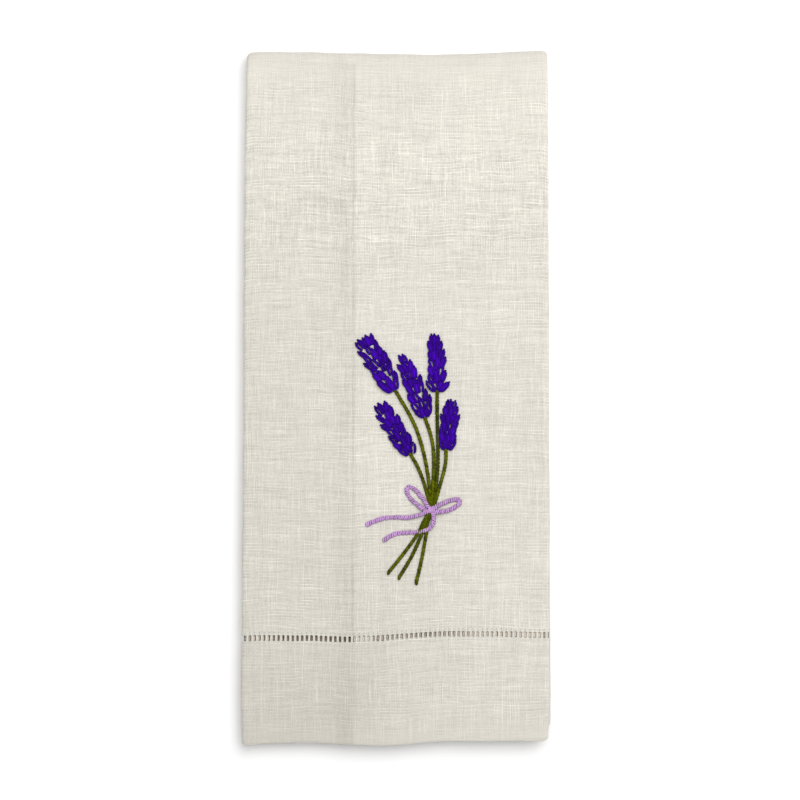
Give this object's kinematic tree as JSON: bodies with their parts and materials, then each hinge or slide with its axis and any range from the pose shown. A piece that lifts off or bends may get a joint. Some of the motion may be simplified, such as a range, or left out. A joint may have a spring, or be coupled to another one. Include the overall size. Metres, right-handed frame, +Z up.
{
  "type": "tea towel",
  "caption": "Folded white linen tea towel with a deep hemstitched hem and an embroidered lavender bunch, lying face up.",
  "frame": {"origin": "middle of the folded towel's outline, on the surface that it lies on", "axes": "+X across the folded towel, +Y from its hem to its top fold, +Z up out of its face"},
  "size_m": [0.1275, 0.2863, 0.0092],
  "materials": {
    "linen": "white plain-woven linen with slubs, matt",
    "violet_thread": "stranded embroidery thread, soft sheen",
    "green_thread": "stranded embroidery thread, soft sheen",
    "lilac_thread": "stranded embroidery thread, soft sheen"
  },
  "bodies": {
    "root": {"towel": "linen"}
  },
  "joints": []
}
